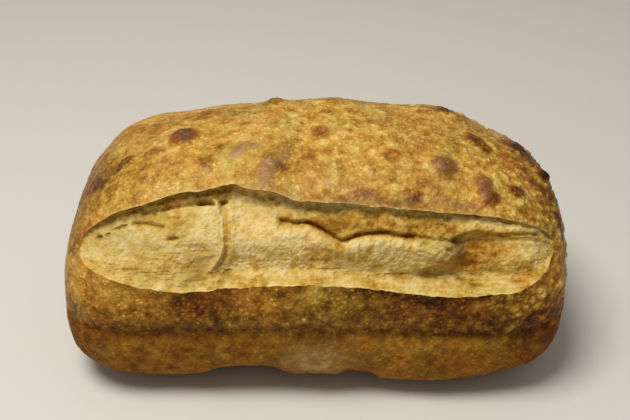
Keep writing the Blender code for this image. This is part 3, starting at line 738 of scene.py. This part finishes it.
def crust_grain(where):
    """Fine rise in mm of the crust: small bubbles of three sizes, fewer where the tin held it and more at the
    right end, plus lumps of three sizes."""
    angle = where.angle % 360.0
    free = 1.0 - 0.75 * smooth_step(179.0, 187.0, angle) * (1.0 - smooth_step(350.0, 358.0, angle))
    lively = 0.6 + 0.4 * np.clip(lumps(where.in_mm, 18.0, 30) + 0.02 * where.along, -1.0, 1.0)
    lively += 0.6 * smooth_step(60.0, 100.0, where.along)
    domes = layered(bubbles, where.in_mm, CRUST_DOMES)
    return free * lively * domes + layered(lumps, where.in_mm, CRUST_LUMPS)


def floury(where, height):
    """The floury patch low on the front: a bell along the loaf times a bell about a height in mm."""
    tall = where.plain[..., 2] / MM - where.wander
    return hump(where.along + where.wander, *FLOUR_PART) * hump(tall, height, FLOUR_HALF_TALL)


def crust_relief(where):
    """Rise in mm of the crust: its grain and slow lumps, the rough floury patch, and low blisters, each a cap
    whose edge wanders. How dark the blisters are is kept with the places."""
    rise = where.crust + layered(lumps, where.in_mm, CRUST_SLOW)
    rough = 0.6 + 0.8 * lumps(where.in_mm, 2.4, 62)
    rise += 1.2 * floury(where, 24.0) * (where.angle % 360.0 < 270.0) * rough
    where.blister = np.zeros(rise.shape)
    for place, angle, radius, height, darker in LOW_BLISTERS + BLISTER_CAPS:
        middle = plain_loaf(bearing_at(place), np.array(float(angle))) / MM
        away = (np.linalg.norm(where.in_mm - middle, axis=-1) + 0.9 * where.wander) / radius
        rise += height * (1.0 - smooth_step(0.2, 1.0, away))
        where.blister += BLISTER_BROWN * darker * (1.0 - smooth_step(0.3, 1.08, away)) - 0.05 * hump(away, 1.2, 0.25)
    return rise


def surface(where):
    """Every point of the loaf: the plain loaf moved out along its normal by the sum of all reliefs."""
    crust = crust_lift(where.angle, where.lower, where.upper)
    turned_up = np.where(where.in_slash, dough_lift(where.ring), crust) * where.wide
    rise = turned_up - where.depth + crease_and_swell(where.plain, where.bearing, where.along)
    rise += broad_waves(where.plain) + bulges(where.bearing, where.along, where.angle) + blisters(where.plain)
    rise += where.fine
    moved = where.plain + where.out * (rise * MM)[..., None]
    return rest_on_table(lift_edges(moved))


def beyond(turns, from_back):
    """0 over the crown and 1 past the two turns, front and back, each an S from its first angle to its second."""
    front, back = turns
    return smooth_step(*front, from_back) + 1.0 - smooth_step(*back, from_back)


def crust_colours(where, from_back):
    """How dark and how warm the crust is: a level, plus patches, lumps, blisters, the burnt edge under the
    lower lip and the two ends, with painted shade along the line of the crease and in the hollows between bubbles."""
    tin_held, low, upright, lower_half = (beyond(turns, from_back) for turns in (TIN_HELD, LOW, UPRIGHT, LOWER_HALF))
    below = np.clip((where.angle - where.lower) % 360.0, 0.0, 60.0)
    from_lip = np.clip((below + 0.8 * where.wander) / BURNT_REACH, 0.0, None)
    burnt = straight_line(BURNT_EDGE, where.along) * np.exp(-(from_lip**1.6))
    brown_and_shade = 0.25 + 0.15 * low + 0.05 * tin_held + patches(BROWNING_AND_CREASE_SHADE, where) + 0.6 * burnt * where.wide
    brown_and_shade += layered(lumps, where.in_mm, BROWN_LUMPS) + where.blister
    brown_and_shade += 0.19 * smooth_step(70.0, 108.0, where.along) * (1.0 - 0.5 * lower_half)
    brown_and_shade += 0.13 * smooth_step(80.0, 108.0, -where.along) * (1.0 - 0.65 * lower_half)
    at_ends = smooth_step(85.0, 108.0, np.abs(where.along))
    # Painted shade along the crease, in front and at the back
    brown_and_shade += 0.1 * hump(from_back, 180.5, 4.0) * (1.0 - 0.7 * at_ends) + 0.08 * hump(from_back, -1.0, 4.0)
    warm = 0.45 + layered(lumps, where.in_mm, WARM_LUMPS) + 1.4 * where.blister
    warm += 0.5 * smooth_step(85.0, 108.0, where.along) * lower_half - 0.1 * (1.0 - upright)
    # Painted shade: warmer in the hollows between bubbles and cooler on their tops
    warm -= 0.5 * (where.crust - CRUST_LEVEL)
    warm -= 0.35 * hump(where.along, 8.0, 34.0) * hump(where.angle % 360.0, 170.0, 8.0)
    return brown_and_shade, warm


def dough_colours(where, torn):
    """Levels of toasting, amber and dull olive shade for the torn dough: levels, plus patches and lumps, with painted
    shade in the lines, the crevice, the pits and the furrow and on the wall under the ear, which is darker at the
    left and paler in the middle, and a painted highlight on the thin wall and its low end."""
    toast_and_shade = 0.25 + patches(TOASTING_AND_SHADE, where) + layered(lumps, where.in_mm, TOAST_LUMPS)
    # Painted shade in the groove, the band line and the crevice, and a painted highlight on the thin wall's low end
    toast_and_shade += 0.38 * where.seam + 0.3 * where.crevice - 0.12 * where.low_ridge
    amber = 0.35 + layered(lumps, where.in_mm, AMBER_LUMPS) + 0.5 * (toast_and_shade - 0.45)
    amber += 0.9 * hump(where.along, 72.0, 10.0) * hump(where.angle, 150.0, 8.0)
    # Painted shade under the ear, in the pits and in the furrow, and a painted highlight on the thin wall
    toast_and_shade += 0.3 * where.under_ear + 0.35 * where.pits - 0.15 * where.ridge + 0.35 * where.beside
    toast_and_shade += 0.24 * (1.0 - smooth_step(0.1, 0.25, where.place))
    left, centre = smooth_step(15.0, 50.0, -where.along), hump(where.along, 10.0, 30.0)
    # Painted shade on the wall under the ear: darkest at its top, more at the left and less in the middle
    toast_and_shade += 0.3 * smooth_step(25.5, 27.5, where.ring) * torn
    toast_and_shade += (0.42 * left - 0.35 * centre) * where.under_ear**3
    # Painted shade: the wall under the ear is mixed to dull olive
    shade_grey = 0.45 * smooth_step(0.93, 1.0, where.place) * (0.6 + 0.6 * lumps(where.in_mm, 5.0, 54)) * (1.0 - 0.8 * left)
    return toast_and_shade, amber, shade_grey + patches(SHADE_GREYING, where)


def paint(where, torn):
    """The numbers that the material follows at each point: shares from 0 to 1 of torn dough, flour, dust with a
    painted highlight on the ear's edge, tin-held skin, glaze and mauve, and levels of browning and toasting that
    carry painted shade too, of dull olive painted shade, of warmth, and of bubbles and strands, whose hollows are
    painted in shade."""
    angle = where.angle % 360.0
    from_back = (where.angle + 90.0) % 360.0 - 90.0
    tin_held, upright = beyond(TIN_HELD, from_back), beyond(UPRIGHT, from_back)
    brown_and_shade, warm = crust_colours(where, from_back)
    toast_and_shade, amber, shade_grey = dough_colours(where, torn)
    sheen = 0.08 + 0.28 * np.clip(lumps(where.in_mm, 16.0, 55) + 0.3, 0.0, 1.0) + patches(GLAZE, where)
    sheen = np.clip(sheen, 0.0, 1.0)
    flour = np.clip(1.2 * floury(where, 25.0) * (0.7 + 0.6 * lumps(where.in_mm, 2.6, 61)), 0.0, 1.0)
    above = np.clip((where.upper - angle) % 360.0, 0.0, 60.0)
    return {
        "torn": np.full(angle.shape, torn) * smooth_step(0.0, 0.3, where.wide),
        "brown_and_shade": brown_and_shade, "toast_and_shade": toast_and_shade, "shade_grey": shade_grey, "flour": flour * (angle > 182.0) * (angle < 250.0),
        "matte": tin_held, "raised": 0.5 + 1.1 * (where.crust - CRUST_LEVEL),
        "strand": 0.5 + 0.9 * (where.dough + 0.25), "dust_highlight": np.exp(-above / DUST_HIGHLIGHT_REACH) * where.wide,
        "glaze": sheen * (1.0 - tin_held) * (1.0 - torn) * (1.0 - upright), "mauve": patches(MAUVE, where),
        "warm": warm * (1.0 - torn) + amber * torn,
    }


def station_bearings():
    """Bearings spaced so that the stations lie evenly along the sides, and closer together round the ends."""
    fine = np.linspace(-90.0, 90.0, 20001)
    line = plain_loaf(fine, np.full(fine.shape, 140.0)) / MM
    steps = np.linalg.norm(np.diff(line, axis=0), axis=-1)
    at_end = np.abs(line[1:, 0]) > END_START
    steps[at_end] *= END_SHARE / (1.0 - END_SHARE) * steps[~at_end].sum() / steps[at_end].sum()
    travelled = np.concatenate([[0.0], np.cumsum(steps)])
    return np.interp(np.linspace(0.0, travelled[-1], STATIONS_FINE + 1), travelled, fine)


def end_points():
    """The loaf's two end points, which every piece shares: the mean of the ring that shrinks to each."""
    bearing, ring = np.meshgrid([-90.0, 90.0], np.arange(0.0, RING_POINTS), indexing="ij")
    return surface(with_grain(read_places(bearing, ring))).mean(axis=1)


def grid_faces(stations, rows):
    """Faces of a grid whose first and last stations are single points: triangles there and quads between, all
    turned outwards."""
    first = 1 + np.arange(rows - 1)
    ring = np.arange(stations - 3)[:, None] * rows + first[None, :]
    quads = np.stack([ring, ring + rows, ring + rows + 1, ring + 1], axis=-1).reshape(-1, 4)
    last = 1 + (stations - 2) * rows
    left = np.stack([np.zeros_like(first), first, first + 1], axis=-1)
    tail = last - rows - 1 + first
    right = np.stack([np.full_like(tail, last), tail + 1, tail], axis=-1)
    return quads, np.concatenate([left, right])


def one_sheet(values):
    """Grid values as a list of vertices: the first station as one point, the middle ones, and the last as one
    point, without the extra row on either side."""
    inner = values[:, 1:-1]
    return np.concatenate([inner[0, :1], inner[1:-1].reshape(-1, *values.shape[2:]), inner[-1, :1]])


def make_piece(name, start, end, rows, torn, ends, material):
    """One piece of the loaf: a grid of stations along it and rows round it, with an extra row either side that
    only shapes the normals, so that neighbouring pieces shade as one surface. A normal is the cross product of
    the grid's steps along and round the loaf."""
    rings = np.linspace(start, end, rows + 1)
    rings = np.concatenate([[rings[0] - (rings[1] - rings[0])], rings, [2 * rings[-1] - rings[-2]]])
    bearing, ring = np.meshgrid(station_bearings(), rings, indexing="ij")
    where = with_grain(read_places(bearing, ring % RING_POINTS))
    points = surface(where)
    points[0], points[-1] = ends
    normals = np.cross(np.gradient(points, axis=0), np.gradient(points, axis=1))
    normals[0], normals[-1] = (-1.0, 0.0, 0.0), (1.0, 0.0, 0.0)
    normals /= np.linalg.norm(normals, axis=-1, keepdims=True) + 1e-12

    quads, triangles = grid_faces(STATIONS_FINE + 1, rows + 1)
    corners = np.concatenate([quads.ravel(), triangles.ravel()])
    sizes = np.concatenate([np.full(len(quads), 4), np.full(len(triangles), 3)])
    vertices = one_sheet(points)
    mesh = bpy.data.meshes.new(name)
    mesh.vertices.add(len(vertices))
    mesh.vertices.foreach_set("co", vertices.ravel())
    mesh.loops.add(len(corners))
    mesh.loops.foreach_set("vertex_index", corners)
    mesh.polygons.add(len(sizes))
    mesh.polygons.foreach_set("loop_start", np.concatenate([[0], np.cumsum(sizes)[:-1]]))
    mesh.update(calc_edges=True)
    mesh.validate()
    for key, values in paint(where, torn).items():
        attribute = mesh.attributes.new(key, "FLOAT", "POINT")
        attribute.data.foreach_set("value", one_sheet(values).astype(np.float32))
    mesh.shade_smooth()
    mesh.normals_split_custom_set_from_vertices(one_sheet(normals))
    mesh.materials.append(material)
    piece = bpy.data.objects.new(name, mesh)
    bpy.context.scene.collection.objects.link(piece)
    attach(piece, "root")
    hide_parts("loaf")


class Wiring:
    """Short ways of adding and joining the nodes of one material."""

    def __init__(self, material):
        """Starts from the material's own shader."""
        material.use_nodes = True
        self.tree = material.node_tree
        self.shader = self.tree.nodes["Principled BSDF"]

    def add(self, kind, inputs=(), **settings):
        """A new node with its settings, whose inputs are joined to sockets or set to numbers."""
        node = self.tree.nodes.new(kind)
        for key, value in settings.items():
            setattr(node, key, value)
        for key, value in dict(inputs).items():
            if isinstance(value, bpy.types.NodeSocket):
                self.tree.links.new(value, node.inputs[key])
            else:
                node.inputs[key].default_value = value
        return node

    def share(self, name):
        """A number painted on the points of the pieces."""
        return self.add("ShaderNodeAttribute", attribute_name=name).outputs["Fac"]

    def work_out(self, operation, first, second, third=None):
        """One step of arithmetic on two or three numbers."""
        inputs = {0: first, 1: second} if third is None else {0: first, 1: second, 2: third}
        return self.add("ShaderNodeMath", inputs, operation=operation).outputs[0]

    def grain(self, scale, detail):
        """Cloudy noise from 0 to 1, in the loaf's own coordinates."""
        where = self.add("ShaderNodeTexCoord").outputs["Object"]
        return self.add("ShaderNodeTexNoise", {"Vector": where, "Scale": scale, "Detail": detail}).outputs["Fac"]

    def spots(self, scale, full, gone):
        """Round spots, one to a cell: 1 nearer to a cell's middle than full, and 0 further than gone."""
        where = self.add("ShaderNodeTexCoord").outputs["Object"]
        away = self.add("ShaderNodeTexVoronoi", {"Vector": where, "Scale": scale}).outputs["Distance"]
        inputs = {"Value": away, "From Min": full, "From Max": gone, "To Min": 1.0, "To Max": 0.0}
        return self.add("ShaderNodeMapRange", inputs, interpolation_type="SMOOTHSTEP").outputs[0]

    def ramp(self, share, stops):
        """A colour that runs through (place, colour) stops as the share rises."""
        node = self.add("ShaderNodeValToRGB", {"Fac": share})
        ramp = node.color_ramp
        while len(ramp.elements) < len(stops):
            ramp.elements.new(0.5)
        for element, (place, colour) in zip(ramp.elements, stops):
            element.position = place
            element.color = (*colour, 1.0)
        return node.outputs["Color"]

    def mix(self, share, first, second):
        """The first colour at share 0, the second at 1, and straight between them."""
        node = self.add("ShaderNodeMix", {0: share}, data_type="RGBA")
        for socket, value in ((node.inputs[6], first), (node.inputs[7], second)):
            if isinstance(value, bpy.types.NodeSocket):
                self.tree.links.new(value, socket)
            else:
                socket.default_value = (*value, 1.0)
        return node.outputs[2]


def crust_paint(make, uneven, coarse, fine, spots):
    """Colour of the crust: golden or orange by warmth, darker with browning and painted crease shade, with painted
    shade in the hollows between small bubbles and a painted highlight on the bump's spots, and mauve skin, flour and
    dust with a painted highlight over it."""
    free = make.work_out("MULTIPLY_ADD", make.share("matte"), -0.5, 1.0)
    browned_and_shaded = make.work_out("MULTIPLY_ADD", uneven, free, make.share("brown_and_shade"))
    level = make.work_out("ADD", browned_and_shaded, 0.23)
    # Painted shade: darker in the hollows between the crust's bubbles, paler on their tops and on the bump's spots
    bubble_shaded = make.work_out("MULTIPLY_ADD", make.share("raised"), -0.26, level)
    bubble_shaded = make.work_out("MULTIPLY_ADD", make.work_out("MULTIPLY", spots, free), -0.2, bubble_shaded)
    crust = make.mix(make.share("warm"), make.ramp(bubble_shaded, GOLDEN), make.ramp(bubble_shaded, ORANGE))
    thin = make.work_out("MULTIPLY_ADD", fine, -1.2, 1.4)
    skinned = make.work_out("MULTIPLY", make.share("mauve"), thin)
    crust = make.mix(skinned, crust, make.ramp(coarse, MAUVE_SKIN))
    crust = make.mix(make.work_out("MULTIPLY", make.share("flour"), 0.7), crust, FLOUR)
    # Pale edge of the ear: dust and a painted highlight
    return make.mix(make.work_out("MULTIPLY", make.share("dust_highlight"), 0.5), crust, EAR_DUST_HIGHLIGHT)


def dough_paint(make, uneven):
    """Colour of the torn dough: straw or amber by warmth, darker with toasting and painted shade, with painted
    shade between strands, and mixed to dull olive for painted shade.
    """
    toasted_and_shaded = make.work_out("ADD", make.share("toast_and_shade"), make.work_out("MULTIPLY_ADD", uneven, 1.2, 0.27))
    # Painted shade: darker between the strands and paler on their tops
    toasted_and_shaded = make.work_out("MULTIPLY_ADD", make.share("strand"), -0.6, toasted_and_shaded)
    dough = make.mix(make.share("warm"), make.ramp(toasted_and_shaded, STRAW), make.ramp(toasted_and_shaded, AMBER))
    # Painted shade: mixed to dull olive
    return make.mix(make.share("shade_grey"), dough, SHADED_DOUGH)


def bread_material():
    """Crust and torn dough in one material: each has its own colours, and the share called torn picks. The crust
    is smoother and glazed, and the bump is coarse noise, fine noise and spots added up."""
    material = bpy.data.materials.new("crust")
    make = Wiring(material)
    torn = make.share("torn")
    coarse, fine = make.grain(COARSE_SCALE, 3.0), make.grain(FINE_SCALE, 3.0)
    speckle = make.work_out("MULTIPLY_ADD", fine, 0.4, -0.2)
    blotch = make.work_out("MULTIPLY_ADD", coarse, 0.7, -0.35)
    uneven = make.work_out("ADD", speckle, blotch)
    spots = make.spots(SPOT_SCALE, 0.14, 0.46)
    spots = make.work_out("MULTIPLY", spots, make.work_out("MULTIPLY", make.grain(SPOT_PATCH_SCALE, 2.0), 1.6))
    colour = make.mix(torn, crust_paint(make, uneven, coarse, fine, spots), dough_paint(make, uneven))
    dull = make.work_out("MAXIMUM", torn, make.share("matte"))
    rough = make.work_out("MULTIPLY_ADD", dull, 0.32, 0.3)
    rough = make.work_out("MULTIPLY_ADD", coarse, 0.14, rough)
    height = make.work_out("MULTIPLY_ADD", coarse, 2.4, make.work_out("MULTIPLY", fine, 0.6))
    height = make.work_out("MULTIPLY_ADD", spots, 0.5, height)
    bump = make.add("ShaderNodeBump", {"Strength": 0.8, "Distance": 0.0006, "Height": height})
    inputs = make.shader.inputs
    make.tree.links.new(colour, inputs["Base Color"])
    make.tree.links.new(rough, inputs["Roughness"])
    make.tree.links.new(bump.outputs[0], inputs["Normal"])
    make.tree.links.new(make.share("glaze"), inputs["Coat Weight"])
    inputs["IOR"].default_value = 1.45
    inputs["Specular IOR Level"].default_value = 0.07
    inputs["Coat Roughness"].default_value = 0.36
    return material


def plain_material(name, colour, roughness):
    """A material of one colour and roughness."""
    material = bpy.data.materials.new(name)
    material.use_nodes = True
    shader = material.node_tree.nodes["Principled BSDF"]
    shader.inputs["Base Color"].default_value = (*colour, 1.0)
    shader.inputs["Roughness"].default_value = roughness
    return material


def make_floor():
    """A plain pale floor: one square centred under the loaf."""
    half = FLOOR_HALF
    mesh = bpy.data.meshes.new("floor")
    mesh.from_pydata([(-half, -half, 0), (half, -half, 0), (half, half, 0), (-half, half, 0)], [], [(0, 1, 2, 3)])
    mesh.materials.append(plain_material("pale floor", FLOOR_COLOUR, 0.7))
    floor = bpy.data.objects.new("floor", mesh)
    bpy.context.scene.collection.objects.link(floor)


def area_light(name, place, aim, size, power):
    """A white disk of light at a place, turned to face another."""
    light = bpy.data.lights.new(name, "AREA")
    light.shape = "DISK"
    light.size = size
    light.energy = power
    holder = bpy.data.objects.new(name, light)
    holder.location = place
    towards = np.array(aim, float) - np.array(place, float)
    holder.rotation_mode = "QUATERNION"
    holder.rotation_quaternion = Vector(towards).to_track_quat("-Z", "Y")
    bpy.context.scene.collection.objects.link(holder)


def make_light():
    """Soft studio light: a faint warm white from all round, and one disk above, to the left and in front."""
    world = bpy.data.worlds.new("soft room")
    bpy.context.scene.world = world
    world.use_nodes = True
    backdrop = world.node_tree.nodes["Background"]
    backdrop.inputs["Color"].default_value = (*ROOM_COLOUR, 1.0)
    backdrop.inputs["Strength"].default_value = ROOM_STRENGTH
    area_light("ceiling", CEILING_PLACE, (0.0, 0.0, 0.05), 0.45, 9.8)


def make_camera():
    """A camera level from side to side, that looks along +Y and down at the loaf from a distance."""
    lens = bpy.data.cameras.new("camera")
    lens.lens = LENS_MM
    lens.sensor_width = SENSOR_MM
    lens.clip_start = 0.01
    camera = bpy.data.objects.new("camera", lens)
    back, up = CAMERA_AWAY * np.cos(CAMERA_DOWN), CAMERA_AWAY * np.sin(CAMERA_DOWN)
    camera.location = (CAMERA_ASIDE, -back, CAMERA_AIM_HEIGHT + up)
    camera.rotation_euler = (np.pi / 2 - CAMERA_DOWN, 0.0, 0.0)
    bpy.context.scene.collection.objects.link(camera)
    bpy.context.scene.camera = camera


bread = bread_material()
loaf_ends = end_points()
for piece_name, first_ring, last_ring, piece_rows, is_torn in PIECES:
    make_piece(piece_name, first_ring, last_ring, piece_rows, is_torn, loaf_ends, bread)
make_floor()
make_light()
make_camera()
bpy.context.scene.view_settings.view_transform = "Standard"
